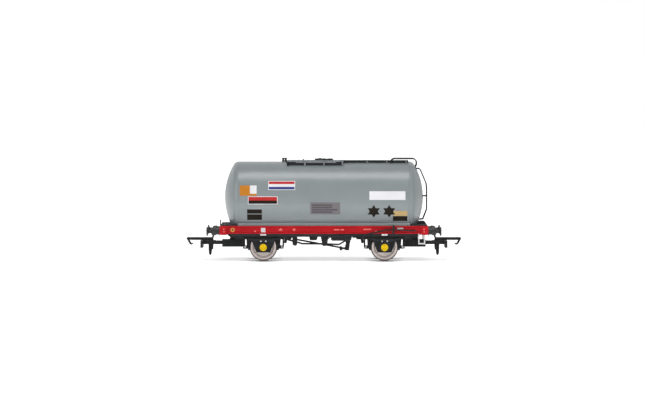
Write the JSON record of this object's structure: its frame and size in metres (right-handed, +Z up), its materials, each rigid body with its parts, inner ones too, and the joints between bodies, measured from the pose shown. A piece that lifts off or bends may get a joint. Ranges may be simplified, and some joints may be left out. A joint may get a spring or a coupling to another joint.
{
  "type": "model railway tank car",
  "caption": "OO gauge model of a four-wheeled railway tank car with rolling pinpoint wheelsets, walkways, an end ladder and hinged tension-lock coupling hooks.",
  "frame": {"origin": "centre of the bounding box at its base: midway between the axles, at the bottoms of the wheel flanges", "axes": "+X along the wagon towards the ladder end, +Y across it, +Z up"},
  "size_m": [0.137, 0.0356, 0.0509],
  "materials": {
    "tank_paint": "satin",
    "frame_red": "satin",
    "underframe_black": "matt",
    "deck_dark": "matt",
    "fitting_grey": "satin",
    "white_paint": "satin",
    "cap_yellow": "satin",
    "buffer_steel": "satin",
    "ballast_steel": "plain",
    "bearing_brass": "turned",
    "wheel_nickel": "turned",
    "coupling_black": "matt"
  },
  "bodies": {
    "wagon": {"air_reservoir": "underframe_black", "axle_bearings": "bearing_brass", "axle_end_caps": "cap_yellow", "axle_guards": "underframe_black", "axleboxes": "underframe_black", "ballast_bar": "ballast_steel", "brake_beams": "underframe_black", "brake_cylinder": "underframe_black", "brake_hangers": "underframe_black", "brake_pipes": "underframe_black", "brake_rigging": "underframe_black", "brake_shaft": "underframe_black", "brake_shoes": "underframe_black", "buffer_heads": "buffer_steel", "buffer_housings": "underframe_black", "bump_blocks": "white_paint", "coupling_bar_left": "coupling_black", "coupling_bar_right": "coupling_black", "coupling_pocket_left": "underframe_black", "coupling_pocket_right": "underframe_black", "dip_pipe_cap": "fitting_grey", "draw_hooks": "underframe_black", "end_deck_left": "deck_dark", "end_deck_right": "deck_dark", "end_ladder": "deck_dark", "hand_levers": "underframe_black", "handrails": "deck_dark", "headstock_left": "frame_red", "headstock_right": "frame_red", "ladder_step": "deck_dark", "lamp_iron": "underframe_black", "leaf_springs": "underframe_black", "lever_guards": "underframe_black", "manhole_dogs": "deck_dark", "manhole_lid": "deck_dark", "manhole_neck": "tank_paint", "solebar_far": "frame_red", "solebar_near": "frame_red", "spring_hangers": "underframe_black", "stirrup_steps": "white_paint", "tank_barrel": "tank_paint", "tank_head_left": "tank_paint", "tank_head_right": "tank_paint", "tank_saddles": "tank_paint", "underframe_floor": "underframe_black", "v_hangers": "underframe_black", "valve_box": "underframe_black", "vent_valves": "deck_dark", "walkway_bearers": "underframe_black", "walkway_brackets": "fitting_grey", "walkway_narrow": "deck_dark", "walkway_wide": "fitting_grey"},
    "wheelset_left": {"axle_left": "wheel_nickel", "wheel_left_near": "wheel_nickel", "wheel_left_far": "wheel_nickel"},
    "wheelset_right": {"axle_right": "wheel_nickel", "wheel_right_near": "wheel_nickel", "wheel_right_far": "wheel_nickel"},
    "hook_left": {"coupling_hook_left": "coupling_black"},
    "hook_right": {"coupling_hook_right": "coupling_black"}
  },
  "joints": [
    {"name": "wheelset_left_spin", "type": "hinge", "parent": "wagon", "child": "wheelset_left", "pos_m": [-0.03, 0, 0.007], "axis": [0, 1, 0], "continuous": true},
    {"name": "wheelset_right_spin", "type": "hinge", "parent": "wagon", "child": "wheelset_right", "pos_m": [0.03, 0, 0.007], "axis": [0, 1, 0], "continuous": true},
    {"name": "hook_left_lift", "type": "hinge", "parent": "wagon", "child": "hook_left", "pos_m": [-0.0559, 0, 0.0091], "axis": [0, 1, 0], "range_deg": [0, 20]},
    {"name": "hook_right_lift", "type": "hinge", "parent": "wagon", "child": "hook_right", "pos_m": [0.0559, 0, 0.0091], "axis": [0, -1, 0], "range_deg": [0, 20]}
  ]
}
